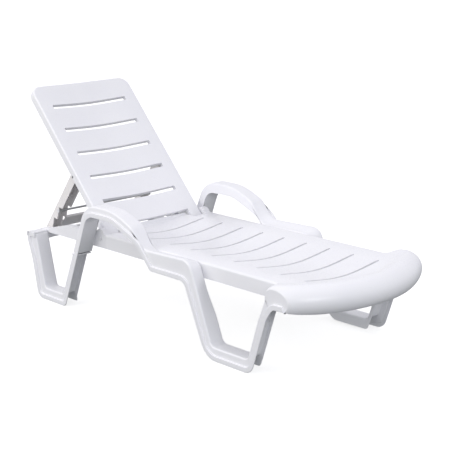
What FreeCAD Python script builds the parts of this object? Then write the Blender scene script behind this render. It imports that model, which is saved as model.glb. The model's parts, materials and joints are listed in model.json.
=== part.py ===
import FreeCAD, Part
import math
import os

# Reclining sun lounger in moulded resin.
# +X points to the foot end, +Z is up, and -Y is the right-hand side of a person lying on it.
# Profile points below are in millimetres from a datum line that stands DATUM_TO_HINGE in
# front of the backrest hinge.  Everything is moved by -ORIGIN_X at the end, so that the
# finished model's origin is on the floor under the middle of its overall length.

# ---- overall -------------------------------------------------------------------------
ORIGIN_X = 170.3
DATUM_TO_HINGE = 200.0
WALL = 4.0
HALF_WIDTH = 350.0
BACK_ANGLE = 47.6

# ---- side frames: a channel that runs leg, arm, apron, leg ---------------------------
FOOT_HEIGHT = 49.0
ARM_TOP = 460.0
ARM_UNDER = 415.0
APRON_TOP = 348.0
APRON_BOTTOM = 266.0
STRIP_WIDTH = 20.0
STRIP_RAISE = 7.0
INNER_WALL_FOOT = 7.0
BRACKET_BOTTOM = 236.0
BRACKET_TOP = 378.0
TOP_PLATE_FRONT_X = -572.0
SCREW_BOSS_RADIUS = 6.5
SCREW_BOSS_DEPTH = 16.0

# ---- rails and seat ------------------------------------------------------------------
RAIL_HALF_WIDTH = 284.0
RAIL_INNER = 257.0
RAIL_BOTTOM = 271.0
RAIL_TOP = 326.0
RAIL_END_X = -628.0
SEAT_REAR_X = -165.0
SEAT_TAIL_X = -232.0
SEAT_TAIL_HALF = 190.0
SEAT_RIM = 330.0
SEAT_SAG = 24.0
DISH_HALF = 245.0
DISH_STEPS = 10
SEAT_SLOT_COUNT = 9
SEAT_SLOT_START = -110.0
SLOT_PITCH = 121.1
SEAT_SLOT_HALF_LENGTH = 194.0
SEAT_SLOT_WIDTH = 11.0
SEAT_COLLAR_DROP = 14.0
SEAT_RIB_INNER = 206.0
SEAT_RIB_OUTER = 210.0
SEAT_RIB_BOTTOM = 285.0
SEAT_RIB_END_X = 905.0
SEAT_BLANK = 1200.0
SEAT_BLANK_HALF = 400.0
RAIL_BOSS_Y = 270.0
RAIL_BOSS_RADIUS = 6.0
RAIL_BOSS_BOTTOM = 300.0
TONGUE_REACH = 64.0

# Heights that every cut through the seat or the backrest starts below and ends above.
CUT_LOW = 200.0
CUT_HIGH = 400.0

# ---- rolled foot end: a round section swept about an upright axis --------------------
NOSE_CENTRE_X = 515.5
NOSE_SWEEP_RADIUS = 492.0
NOSE_ROLL_RADIUS = 56.0
NOSE_ROLL_Z = 290.0
NOSE_LIP_ANGLE = -47.0
NOSE_ROOT_ANGLE = 190.0
NOSE_HALF_SWEEP = 50.0
DECK_FRONT_RADIUS = 446.0
NOSE_END_X = 812.0
NOSE_BLOCK_X = (700.0, 1100.0)

# ---- backrest, modelled lying flat ---------------------------------------------------
HINGE_Z = 310.0
BACK_TOP_Z = 326.0
BACK_DEPTH = 35.0
BACK_LOWER_X = -190.0
BACK_UPPER_X = -954.6
BACK_HALF_WIDTH = 254.5
BACK_CORNER = 45.0
BACK_SAG = 12.0
BACK_DISH_HALF = 235.0
BACK_SLOT_COUNT = 5
BACK_SLOT_START = -354.4
BACK_NOTCH_X = -242.0
BACK_NOTCH_HALF = 197.0
BACK_SLOT_PITCH = 121.8
BACK_SLOT_HALF_LENGTH = 193.5
BACK_SLOT_WIDTH = 19.0
BACK_CUT_HALF = (180.0, 300.0)
SLOT_COLLAR = 3.0
SLOT_COLLAR_DEPTH = 20.0

# ---- hinge hardware ------------------------------------------------------------------
HINGE_PIN_RADIUS = 6.0
HINGE_PIN_HEAD = 9.0
HINGE_PIN_HEAD_DEPTH = 3.0
RUNNING_GAP = 0.06
HINGE_LUG_RADIUS = 12.0
HINGE_LUG_INNER = 225.0
HINGE_LUG_OUTER = 231.0
PROP_PIN_RADIUS = 5.0
PROP_LUG_INNER = 190.0
PROP_LUG_OUTER = 196.0

# ---- prop: two toothed legs that hold the backrest up --------------------------------
PROP_HINGE = (-506.5, 296.1)
PROP_LEAN = 51.7
PROP_INNER = 199.0
PROP_OUTER = 247.0
PROP_BACK_EDGE = -21.5
PROP_TIP = 17.0
PROP_ROOT = -5.0
TOOTH_FIRST = 180.0
TOOTH_PITCH = 66.2
TOOTH_COUNT = 3
TOOTH_SLOPE = 9.6
PROP_LENGTH = 352.0
PROP_ROOT_END = -17.0
PROP_ROUND = 16.0
PROP_HOLLOW_START = 20.0
PROP_RIB = 3.0
PROP_PANEL_LOW = 252.0
PROP_PANEL_HIGH = 310.0
PROP_PANEL_FACE = 12.0
PROP_PANEL_FLANGE = 12.0
PROP_TAB_INSET = 16.0
TIE_ROD_RADIUS = 4.5
TIE_ROD_ALONG = 208.0
TIE_ROD_OFFSET = 3.0
TIE_ROD_CAP_RADIUS = 7.5
TIE_ROD_CAP_DEPTH = 2.6
TIE_ROD_END = 1.4

# ---- rear crossbar -------------------------------------------------------------------
CROSSBAR_REAR = -623.5
CROSSBAR_FRONT = -592.0
CROSSBAR_TOP = 267.0
CROSSBAR_BOTTOM = 241.0
CROSSBAR_END_WALL = 8.0
CROSSBAR_RIB = 3.0
CROSSBAR_RIB_PITCH = 60.0
CROSSBAR_RIB_PAIRS = 3

# ---- screws --------------------------------------------------------------------------
SCREW_RADIUS = 2.5
SCREW_HEAD_RADIUS = 5.0
SCREW_HEAD_HEIGHT = 3.0
BOLT_LENGTH = 48.0
FRAME_SCREW_LENGTH = 17.0
RAIL_SCREW_LENGTH = 20.0
RAIL_SCREW_HEAD_Z = 296.0

# Inner and upper edge of the side frame, from the head end to the foot end: x, z, radius.
UPPER_EDGE = [
    (-574.0, 281.0, 0.0),
    (-519.5, FOOT_HEIGHT, 20.0),
    (-392.5, FOOT_HEIGHT, 12.0),
    (-208.0, ARM_TOP, 110.0),
    (-20.0, ARM_TOP, 300.0),
    (90.0, 414.0, 60.0),
    (150.0, 341.0, 80.0),
    (422.0, APRON_TOP, 52.0),
    (538.0, FOOT_HEIGHT, 30.0),
    (727.0, FOOT_HEIGHT, 22.0),
    (781.0, 206.0, 180.0),
    (832.0, 311.0, 0.0),
]

# Outer and lower edge of the same channel's outer wall, in the same order.
LOWER_EDGE = [
    (-628.0, 281.0, 8.0),
    (-624.0, 240.0, 40.0),
    (-596.0, 165.0, 60.0),
    (-564.0, 0.0, 40.0),
    (-367.0, 0.0, 28.0),
    (-188.0, ARM_UNDER, 62.0),
    (-30.0, ARM_UNDER, 160.0),
    (126.0, 352.0, 90.0),
    (204.0, APRON_BOTTOM, 26.0),
    (400.0, APRON_BOTTOM, 34.0),
    (513.0, 0.0, 85.0),
    (752.0, 0.0, 48.0),
    (830.0, 218.0, 60.0),
    (880.0, 254.0, 0.0),
]

# The same edge on the inner wall, which is cut back along the legs and clear of the ground.
INNER_EDGE = [
    (-628.0, 281.0, 8.0),
    (-623.0, 222.0, 8.0),
    (-592.0, 205.0, 10.0),
    (-572.0, 165.0, 60.0),
    (-541.0, INNER_WALL_FOOT, 25.0),
    (-390.0, INNER_WALL_FOOT, 12.0),
    (-291.0, BRACKET_BOTTOM, 3.0),
    (-265.0, BRACKET_BOTTOM, 3.0),
    (-188.0, ARM_UNDER, 62.0),
    (-30.0, ARM_UNDER, 160.0),
    (126.0, 352.0, 90.0),
    (204.0, APRON_BOTTOM, 26.0),
    (420.0, APRON_BOTTOM, 30.0),
    (531.0, INNER_WALL_FOOT, 60.0),
    (728.0, INNER_WALL_FOOT, 20.0),
    (803.0, 218.0, 50.0),
    (872.0, 256.0, 0.0),
]


def vec(x, y, z):
    return FreeCAD.Vector(x, y, z)


def unit(ax, az, bx, bz):
    length = math.hypot(bx - ax, bz - az)
    return (bx - ax) / length, (bz - az) / length


def offset_edge(points, distance):
    """Moves an open edge to its left by distance, keeping its rounded corners concentric."""
    moved = []
    last = len(points) - 1
    for i, (x, z, radius) in enumerate(points):
        before = unit(*points[i - 1][:2], x, z) if i > 0 else None
        after = unit(x, z, *points[i + 1][:2]) if i < last else None
        before = before or after
        after = after or before
        share = 1.0 + before[0] * after[0] + before[1] * after[1]
        shift_x = -(before[1] + after[1]) * distance / share
        shift_z = (before[0] + after[0]) * distance / share
        turn = before[0] * after[1] - before[1] * after[0]
        new_radius = radius - math.copysign(distance, turn) if radius > 0 else 0.0
        moved.append((x + shift_x, z + shift_z, max(new_radius, 0.0)))
    return moved


def outline(points):
    """Closed wire in the XZ plane through (x, z, radius) corners, with tangent arcs."""
    starts = []
    arcs = []
    count = len(points)
    for i, (x, z, radius) in enumerate(points):
        here = vec(x, 0, z)
        if radius <= 0:
            starts.append((here, here))
            arcs.append(None)
            continue
        back = unit(x, z, *points[i - 1][:2])
        ahead = unit(x, z, *points[(i + 1) % count][:2])
        opening = math.acos(max(-1.0, min(1.0, back[0] * ahead[0] + back[1] * ahead[1])))
        reach = radius / math.tan(opening / 2)
        first = vec(x + back[0] * reach, 0, z + back[1] * reach)
        second = vec(x + ahead[0] * reach, 0, z + ahead[1] * reach)
        towards = vec(back[0] + ahead[0], 0, back[1] + ahead[1]).normalize()
        middle = here + towards * (radius / math.sin(opening / 2) - radius)
        starts.append((first, second))
        arcs.append(Part.Arc(first, middle, second).toShape())
    edges = []
    for i in range(count):
        if arcs[i]:
            edges.append(arcs[i])
        leave = starts[i][1]
        arrive = starts[(i + 1) % count][0]
        if leave.distanceToPoint(arrive) > 1e-6:
            edges.append(Part.makeLine(leave, arrive))
    return Part.Wire(edges)


def prism(points, y_from, y_to):
    face = Part.Face(outline(points))
    face.translate(vec(0, y_from, 0))
    return face.extrude(vec(0, y_to - y_from, 0))


def box(x_range, y_range, z_range):
    return Part.makeBox(x_range[1] - x_range[0], y_range[1] - y_range[0], z_range[1] - z_range[0],
                        vec(x_range[0], y_range[0], z_range[0]))


def rod_y(x, z, radius, y_from, y_to):
    return Part.makeCylinder(radius, y_to - y_from, vec(x, y_from, z), vec(0, 1, 0))


def fuse(shapes):
    return shapes[0].multiFuse(shapes[1:]).removeSplitter()


def cut(shape, tools):
    return shape.cut(tools)


def mirrored(shape):
    return shape.mirror(vec(0, 0, 0), vec(0, 1, 0))


def screw(point, direction, length):
    """Self-tapping screw: point is under the head, direction is the way it is driven in."""
    shank = Part.makeCylinder(SCREW_RADIUS, length, point, direction)
    head = Part.makeCylinder(SCREW_HEAD_RADIUS, SCREW_HEAD_HEIGHT, point, direction * -1)
    return shank.fuse(head)


def slot_prism(x, half_length, width, z_range):
    """Slot with round ends, along Y, cut or raised through z_range."""
    radius = width / 2
    body = box((x - radius, x + radius), (radius - half_length, half_length - radius), z_range)
    ends = []
    for sign in (-1, 1):
        end = Part.makeCylinder(radius, z_range[1] - z_range[0],
                                vec(x, sign * (half_length - radius), z_range[0]))
        ends.append(end)
    return body.multiFuse(ends)


def dish_curve(half_dish, rim, sag):
    """Smooth hollow in the YZ plane, level with the rim at both ends."""
    points = []
    for i in range(-DISH_STEPS, DISH_STEPS + 1):
        share = i / DISH_STEPS
        points.append(vec(0, half_dish * share, rim - sag * (1 - share ** 2) ** 2))
    curve = Part.BSplineCurve()
    curve.interpolate(points)
    return curve.toShape()


def polyline(points):
    return [Part.makeLine(a, b) for a, b in zip(points, points[1:])]


def dished_face(half_dish, rim, sag, border):
    """Cross-section of a dished sheet in the YZ plane; border is its right-hand edge, top to underside."""
    right = [vec(0, half_dish, rim)]
    right += [vec(0, y, z) for y, z in border]
    right += [vec(0, half_dish, rim - WALL)]
    left = [vec(0, -p.y, p.z) for p in reversed(right)]
    edges = [dish_curve(half_dish, rim, sag)] + polyline(right)
    edges += [dish_curve(half_dish, rim - WALL, sag)] + polyline(left)
    return Part.Face(Part.Wire(edges))


def above_dish(half_dish, rim, sag, x_range):
    """Everything above a dish, to trim the slot collars to its surface."""
    over = rim + 2 * SLOT_COLLAR_DEPTH
    edges = [dish_curve(half_dish, rim, sag)]
    edges += polyline([vec(0, half_dish, rim), vec(0, half_dish, over), vec(0, -half_dish, over),
                       vec(0, -half_dish, rim)])
    face = Part.Face(Part.Wire(edges))
    face.translate(vec(x_range[0], 0, 0))
    return face.extrude(vec(x_range[1] - x_range[0], 0, 0))


# ---- seat ----------------------------------------------------------------------------
def nose_roll():
    centre = vec(NOSE_CENTRE_X + NOSE_SWEEP_RADIUS, 0, NOSE_ROLL_Z)

    def on_circle(radius, angle):
        turn = math.radians(angle)
        return centre + vec(radius * math.cos(turn), 0, radius * math.sin(turn))

    inner = NOSE_ROLL_RADIUS - WALL
    middle = (NOSE_LIP_ANGLE + NOSE_ROOT_ANGLE) / 2
    outer_arc = Part.Arc(on_circle(NOSE_ROLL_RADIUS, NOSE_LIP_ANGLE),
                         on_circle(NOSE_ROLL_RADIUS, middle),
                         on_circle(NOSE_ROLL_RADIUS, NOSE_ROOT_ANGLE)).toShape()
    inner_arc = Part.Arc(on_circle(inner, NOSE_ROOT_ANGLE), on_circle(inner, middle),
                         on_circle(inner, NOSE_LIP_ANGLE)).toShape()
    root = Part.makeLine(on_circle(NOSE_ROLL_RADIUS, NOSE_ROOT_ANGLE), on_circle(inner, NOSE_ROOT_ANGLE))
    lip = Part.makeLine(on_circle(inner, NOSE_LIP_ANGLE), on_circle(NOSE_ROLL_RADIUS, NOSE_LIP_ANGLE))
    section = Part.Face(Part.Wire([outer_arc, root, inner_arc, lip]))
    axis_point = vec(NOSE_CENTRE_X, 0, 0)
    section.rotate(axis_point, vec(0, 0, 1), -NOSE_HALF_SWEEP)
    roll = section.revolve(axis_point, vec(0, 0, 1), 2 * NOSE_HALF_SWEEP)
    end_y = HALF_WIDTH - WALL - 0.1
    roll = roll.common(box(NOSE_BLOCK_X, (-end_y, end_y), (CUT_LOW, CUT_HIGH)))
    corners = []
    for sign in (-1, 1):
        y_pair = sorted((sign * RAIL_HALF_WIDTH, sign * HALF_WIDTH))
        corners.append(box((NOSE_BLOCK_X[0], NOSE_END_X), y_pair, (CUT_LOW, CUT_HIGH)))
    return cut(roll, corners)


def seat_slots():
    return [SEAT_SLOT_START + i * SLOT_PITCH for i in range(SEAT_SLOT_COUNT)]


def rail_boss_points():
    return [(SEAT_REAR_X + 22.0, RAIL_BOSS_Y), (SEAT_REAR_X + 48.0, RAIL_BOSS_Y)]


def seat_deck():
    skirt_inner = RAIL_HALF_WIDTH - WALL
    section = dished_face(DISH_HALF, SEAT_RIM, SEAT_SAG, [
        (RAIL_HALF_WIDTH, RAIL_TOP), (RAIL_HALF_WIDTH, RAIL_BOTTOM),
        (skirt_inner, RAIL_BOTTOM), (skirt_inner, RAIL_TOP - WALL)])
    section.translate(vec(SEAT_TAIL_X, 0, 0))
    deck = section.extrude(vec(SEAT_BLANK, 0, 0))
    straight = box((SEAT_TAIL_X, NOSE_CENTRE_X), (-SEAT_BLANK_HALF, SEAT_BLANK_HALF), (CUT_LOW, CUT_HIGH))
    bowed = Part.makeCylinder(DECK_FRONT_RADIUS, CUT_HIGH - CUT_LOW, vec(NOSE_CENTRE_X, 0, CUT_LOW))
    deck = deck.common(straight.fuse(bowed))
    hinge_corners = []
    for sign in (-1, 1):
        y_pair = sorted((sign * SEAT_TAIL_HALF, sign * SEAT_BLANK_HALF))
        hinge_corners.append(box((SEAT_TAIL_X - 1, SEAT_REAR_X), y_pair, (CUT_LOW, CUT_HIGH)))
    deck = deck.cut(hinge_corners)
    under = SEAT_RIM - SEAT_SAG
    ribs = []
    for sign in (-1, 1):
        y_pair = sorted((sign * SEAT_RIB_INNER, sign * SEAT_RIB_OUTER))
        ribs.append(box((SEAT_REAR_X, SEAT_RIB_END_X), y_pair, (SEAT_RIB_BOTTOM, SEAT_RIM - 3)))
    ribs.append(box((SEAT_REAR_X, SEAT_REAR_X + WALL), (1 - SEAT_RIB_OUTER, SEAT_RIB_OUTER - 1),
                    (SEAT_RIB_BOTTOM, under - 2)))
    above = above_dish(DISH_HALF, SEAT_RIM, SEAT_SAG, (SEAT_TAIL_X - 1, SEAT_TAIL_X + SEAT_BLANK))
    for sign in (-1, 1):
        y_pair = sorted((sign * (SEAT_TAIL_HALF - WALL), sign * SEAT_TAIL_HALF))
        tail_side = box((SEAT_TAIL_X, SEAT_REAR_X + WALL), y_pair, (SEAT_RIB_BOTTOM, SEAT_RIM))
        ribs.append(tail_side.cut(above))
    ribs.append(box((SEAT_TAIL_X, SEAT_TAIL_X + WALL), (-SEAT_TAIL_HALF, SEAT_TAIL_HALF),
                    (SEAT_RIB_BOTTOM, SEAT_RIM)))
    collars = []
    openings = []
    for x in seat_slots():
        collar = slot_prism(x, SEAT_SLOT_HALF_LENGTH + SLOT_COLLAR, SEAT_SLOT_WIDTH + 2 * SLOT_COLLAR,
                            (under - SEAT_COLLAR_DROP, SEAT_RIM + 5))
        collars.append(collar.cut(above))
        openings.append(slot_prism(x, SEAT_SLOT_HALF_LENGTH, SEAT_SLOT_WIDTH, (CUT_LOW, CUT_HIGH)))
    bosses = []
    for x, y in rail_boss_points():
        for sign in (-1, 1):
            bosses.append(Part.makeCylinder(RAIL_BOSS_RADIUS, RAIL_TOP - 2 - RAIL_BOSS_BOTTOM,
                                            vec(x, sign * y, RAIL_BOSS_BOTTOM)))
    deck = fuse([deck] + ribs + collars + bosses + [nose_roll()])
    return cut(deck, openings)


# ---- head-end rails ------------------------------------------------------------------
def rear_rail():
    """Left rail: a channel open towards the middle, with the hinge ear and a solid rear end."""
    shape_points = [
        (RAIL_END_X, CROSSBAR_BOTTOM, 4.0),
        (RAIL_END_X, 281.0, 6.0),
        (-566.0, 290.0, 120.0),
        (-430.0, RAIL_TOP - 1, 120.0),
        (-246.0, RAIL_TOP - 1, 8.0),
        (-207.0, 349.0, 7.0),
        (-188.0, 346.0, 5.0),
        (SEAT_REAR_X - 0.5, RAIL_TOP - 1, 0.0),
        (SEAT_REAR_X - 0.5, RAIL_BOTTOM, 0.0),
        (-575.0, RAIL_BOTTOM, 10.0),
        (-585.0, CROSSBAR_BOTTOM, 4.0),
    ]
    hollow_points = [
        (-577.0, 275.0, 0.0),
        (-577.0, 283.0, 0.0),
        (-430.0, RAIL_TOP - 5, 100.0),
        (SEAT_REAR_X - 4.5, RAIL_TOP - 5, 0.0),
        (SEAT_REAR_X - 4.5, 275.0, 0.0),
    ]
    rail = prism(shape_points, RAIL_INNER, RAIL_HALF_WIDTH)
    hollow = prism(hollow_points, RAIL_INNER - 1, RAIL_HALF_WIDTH - WALL)
    rail = rail.cut(hollow)
    tongue_x = (SEAT_REAR_X - 0.5, SEAT_REAR_X + TONGUE_REACH)
    tongue = box(tongue_x, (RAIL_INNER, RAIL_HALF_WIDTH - WALL - 0.4),
                 (RAIL_BOSS_BOTTOM - WALL, RAIL_BOSS_BOTTOM))
    tongue_wall = box(tongue_x, (RAIL_INNER, RAIL_INNER + WALL), (RAIL_BOTTOM + 5, RAIL_BOSS_BOTTOM))
    boss = rod_y(-DATUM_TO_HINGE, HINGE_Z, HINGE_LUG_RADIUS, RAIL_INNER, RAIL_HALF_WIDTH)
    ribs = []
    for x in (-500.0, -390.0, -300.0):
        ribs.append(box((x, x + 3), (RAIL_INNER + WALL, RAIL_HALF_WIDTH - 1),
                        (RAIL_BOTTOM + 2, RAIL_BOSS_BOTTOM)))
    rail = fuse([rail, tongue, tongue_wall, boss] + ribs)
    return cut(rail, [rod_y(-DATUM_TO_HINGE, HINGE_Z, HINGE_PIN_RADIUS, *BACK_CUT_HALF)])


def hinge_pin():
    shank = rod_y(-DATUM_TO_HINGE, HINGE_Z, HINGE_PIN_RADIUS, HINGE_LUG_INNER - 2, RAIL_HALF_WIDTH)
    head = rod_y(-DATUM_TO_HINGE, HINGE_Z, HINGE_PIN_HEAD, RAIL_HALF_WIDTH,
                 RAIL_HALF_WIDTH + HINGE_PIN_HEAD_DEPTH)
    return shank.fuse(head).removeSplitter()


def rear_crossbar():
    half = RAIL_INNER - 0.1
    outer = prism([(CROSSBAR_REAR, CROSSBAR_BOTTOM, 0.0), (CROSSBAR_REAR, CROSSBAR_TOP, 7.0),
                   (CROSSBAR_FRONT, CROSSBAR_TOP, 7.0), (CROSSBAR_FRONT, CROSSBAR_BOTTOM, 0.0)], -half, half)
    hollow_half = half - CROSSBAR_END_WALL
    hollow = box((CROSSBAR_REAR + WALL, CROSSBAR_FRONT - WALL), (-hollow_half, hollow_half),
                 (CROSSBAR_BOTTOM - 1, CROSSBAR_TOP - WALL))
    bar = outer.cut(hollow)
    ribs = []
    for i in range(-CROSSBAR_RIB_PAIRS, CROSSBAR_RIB_PAIRS + 1):
        middle = i * CROSSBAR_RIB_PITCH
        ribs.append(box((CROSSBAR_REAR + 1, CROSSBAR_FRONT - 1),
                        (middle - CROSSBAR_RIB / 2, middle + CROSSBAR_RIB / 2),
                        (CROSSBAR_BOTTOM + 3, CROSSBAR_TOP - 2)))
    return fuse([bar] + ribs)


# ---- side frames ---------------------------------------------------------------------
def nose_cap_points():
    """Outline that closes the rolled foot end at the side frame's outer face."""
    points = []
    for angle in range(200, -61, -20):
        turn = math.radians(angle)
        sweep = NOSE_SWEEP_RADIUS + NOSE_ROLL_RADIUS * math.cos(turn)
        x = NOSE_CENTRE_X + math.sqrt(sweep ** 2 - HALF_WIDTH ** 2)
        points.append((x, NOSE_ROLL_Z + NOSE_ROLL_RADIUS * math.sin(turn)))
    return points


def nose_cap():
    points = [vec(x, 0, z) for x, z in nose_cap_points()]
    curve = Part.BSplineCurve()
    curve.interpolate(points)
    face = Part.Face(Part.Wire([curve.toShape(), Part.makeLine(points[-1], points[0])]))
    face.translate(vec(0, HALF_WIDTH - WALL, 0))
    cap = face.extrude(vec(0, WALL, 0))
    foot_x, foot_z, _ = UPPER_EDGE[-2]
    head_x = NOSE_BLOCK_X[0]
    behind_limb = prism([(foot_x, foot_z, 0.0), UPPER_EDGE[-1], (UPPER_EDGE[-1][0] + WALL, CUT_HIGH, 0.0),
                         (head_x, CUT_HIGH, 0.0), (head_x, foot_z, 0.0)],
                        HALF_WIDTH - 2 * WALL, HALF_WIDTH + 1)
    return cap.cut(behind_limb)


def apron_screw_points():
    return [(-266.0, 294.0), (200.0, 304.0), (300.0, 304.0), (392.0, 304.0)]


def side_frame(deck):
    """Left side frame: rear leg loop, armrest, apron and front leg loop in one channel."""
    inner_y = RAIL_HALF_WIDTH
    band = UPPER_EDGE + list(reversed(LOWER_EDGE))
    web = UPPER_EDGE + list(reversed(offset_edge(UPPER_EDGE, -WALL)))
    inner_wall = UPPER_EDGE + list(reversed(INNER_EDGE))
    strip_y = HALF_WIDTH + STRIP_RAISE
    rim_edge = [UPPER_EDGE[0]] + LOWER_EDGE
    strip = rim_edge + list(reversed(offset_edge(rim_edge, STRIP_WIDTH)))
    strip_inside = rim_edge + list(reversed(offset_edge(rim_edge, STRIP_WIDTH - WALL)))
    outer_wall = prism(band, HALF_WIDTH - WALL, HALF_WIDTH)
    raised_strip = prism(strip, HALF_WIDTH - WALL, strip_y)
    shell = fuse([outer_wall, raised_strip])
    shell = shell.cut(prism(strip_inside, HALF_WIDTH - WALL - 1, strip_y - WALL))
    end_x, end_z, end_radius = LOWER_EDGE[0]
    flap_z = end_z - STRIP_WIDTH + 1
    top_plate = prism([(end_x, end_z, end_radius), (end_x, flap_z, 0.0), (end_x + WALL, flap_z, 0.0),
                       (end_x + WALL, end_z - WALL, end_radius - WALL), (TOP_PLATE_FRONT_X, end_z - WALL, 0.0),
                       (TOP_PLATE_FRONT_X, end_z, 0.0)], inner_y, strip_y)
    bracket_front = prism([(-269.4, BRACKET_BOTTOM, 0.0), (-208.2, BRACKET_TOP, 0.0),
                           (-203.8, BRACKET_TOP, 0.0), (-265.0, BRACKET_BOTTOM, 0.0)], inner_y, strip_y - 1)
    bracket_floor = prism([(-308.0, BRACKET_BOTTOM, 0.0), (-266.0, BRACKET_BOTTOM, 0.0),
                           (-264.3, BRACKET_BOTTOM + WALL, 0.0), (-306.2, BRACKET_BOTTOM + WALL, 0.0)],
                          inner_y, HALF_WIDTH - 1)
    bosses = []
    for x, z in apron_screw_points():
        bosses.append(rod_y(x, z, SCREW_BOSS_RADIUS, inner_y, inner_y + SCREW_BOSS_DEPTH))
    solids = [shell, prism(web, inner_y, HALF_WIDTH), prism(inner_wall, inner_y, inner_y + WALL), top_plate,
              bracket_front, bracket_floor, nose_cap()]
    return fuse(solids + bosses).cut(deck)


# ---- backrest ------------------------------------------------------------------------
def back_slots():
    return [BACK_SLOT_START - i * BACK_SLOT_PITCH for i in range(BACK_SLOT_COUNT)]


def raised(shape):
    """Turns a shape from the flat position up to the highest position about the hinge."""
    turned = shape.copy()
    turned.rotate(vec(-DATUM_TO_HINGE, 0, HINGE_Z), vec(0, 1, 0), BACK_ANGLE)
    return turned


def rounded_plan(inset, z_from, z_to):
    """Block over the backrest's plan, drawn in by inset, with its two head-end corners rounded."""
    half = BACK_HALF_WIDTH - inset
    block = box((BACK_UPPER_X + inset, BACK_LOWER_X - inset), (-half, half), (z_from, z_to))
    head_edges = []
    for edge in block.Edges:
        upright = abs(edge.Vertexes[0].Z - edge.Vertexes[-1].Z) > 1
        if upright and edge.Vertexes[0].X < BACK_UPPER_X + inset + 1:
            head_edges.append(edge)
    return block.makeFillet(BACK_CORNER - inset, head_edges)


def backrest_lug(x, z, y_range, front_x):
    """Round eye about (x, z), joined up to the plate."""
    eye = rod_y(x, z, HINGE_LUG_RADIUS, *y_range)
    neck = box((x - HINGE_LUG_RADIUS, front_x), y_range, (z, BACK_TOP_Z - 2))
    return eye.fuse(neck)


def backrest_panel():
    bottom = BACK_TOP_Z - BACK_DEPTH
    body = rounded_plan(0.0, bottom, BACK_TOP_Z)
    skirt = body.cut(rounded_plan(WALL, bottom - 1, BACK_TOP_Z + 1))
    edge = BACK_HALF_WIDTH - 1
    plate = dished_face(BACK_DISH_HALF, BACK_TOP_Z, BACK_SAG,
                        [(edge, BACK_TOP_Z), (edge, BACK_TOP_Z - WALL)])
    plate.translate(vec(BACK_UPPER_X + 1, 0, 0))
    plate = plate.extrude(vec(BACK_LOWER_X - BACK_UPPER_X - 2, 0, 0)).common(body)
    above = above_dish(BACK_DISH_HALF, BACK_TOP_Z, BACK_SAG, (BACK_UPPER_X - 1, BACK_LOWER_X + 1))
    collars = []
    openings = []
    for x in back_slots():
        collar = slot_prism(x, BACK_SLOT_HALF_LENGTH + SLOT_COLLAR, BACK_SLOT_WIDTH + 2 * SLOT_COLLAR,
                            (BACK_TOP_Z - SLOT_COLLAR_DEPTH, BACK_TOP_Z))
        collars.append(collar.cut(above))
        openings.append(slot_prism(x, BACK_SLOT_HALF_LENGTH, BACK_SLOT_WIDTH, (CUT_LOW, CUT_HIGH)))
    lugs = []
    holes = []
    prop_x, prop_z = PROP_HINGE
    for sign in (-1, 1):
        y_pair = sorted((sign * HINGE_LUG_INNER, sign * HINGE_LUG_OUTER))
        lugs.append(backrest_lug(-DATUM_TO_HINGE, HINGE_Z, y_pair, BACK_LOWER_X - 1))
        for low, high in ((PROP_LUG_INNER, PROP_LUG_OUTER), (BACK_HALF_WIDTH - WALL, BACK_HALF_WIDTH)):
            y_pair = sorted((sign * low, sign * high))
            lugs.append(backrest_lug(prop_x, prop_z, y_pair, prop_x + HINGE_LUG_RADIUS))
        y_pair = sorted((sign * BACK_CUT_HALF[0], sign * BACK_CUT_HALF[1]))
        holes.append(rod_y(-DATUM_TO_HINGE, HINGE_Z, HINGE_PIN_RADIUS + RUNNING_GAP, *y_pair))
        holes.append(rod_y(prop_x, prop_z, PROP_PIN_RADIUS, *y_pair))
    notch_wall_half = BACK_NOTCH_HALF + WALL
    notch_walls = box((BACK_NOTCH_X - WALL, BACK_LOWER_X), (-notch_wall_half, notch_wall_half),
                      (BACK_TOP_Z - SLOT_COLLAR_DEPTH, BACK_TOP_Z)).cut(above)
    notch = box((BACK_NOTCH_X, BACK_LOWER_X + 1), (-BACK_NOTCH_HALF, BACK_NOTCH_HALF), (CUT_LOW, CUT_HIGH))
    panel = fuse([skirt, plate, notch_walls] + collars + lugs)
    return raised(cut(panel, openings + holes + [notch]))


def prop_pin():
    x, z = PROP_HINGE
    return raised(rod_y(x, z, PROP_PIN_RADIUS, PROP_LUG_INNER, BACK_HALF_WIDTH))


# ---- prop ----------------------------------------------------------------------------
def raised_prop_hinge():
    x, z = PROP_HINGE
    turn = math.radians(BACK_ANGLE)
    dx = x + DATUM_TO_HINGE
    dz = z - HINGE_Z
    return (dx * math.cos(turn) + dz * math.sin(turn) - DATUM_TO_HINGE,
            dz * math.cos(turn) - dx * math.sin(turn) + HINGE_Z)


def leaning(points):
    """Turns (along, offset, radius) in the prop's own frame into x, z, radius in the model."""
    hx, hz = raised_prop_hinge()
    lean = math.radians(PROP_LEAN)
    placed = []
    for along, offset, radius in points:
        x = hx - along * math.cos(lean) + offset * math.sin(lean)
        z = hz - along * math.sin(lean) - offset * math.cos(lean)
        placed.append((x, z, radius))
    return placed


def toothed_edge():
    points = []
    for i in range(TOOTH_COUNT):
        tip = TOOTH_FIRST + i * TOOTH_PITCH
        points.append((tip, PROP_TIP, 1.5))
        points.append((tip + TOOTH_SLOPE, PROP_ROOT, 3.0))
    return points


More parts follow.
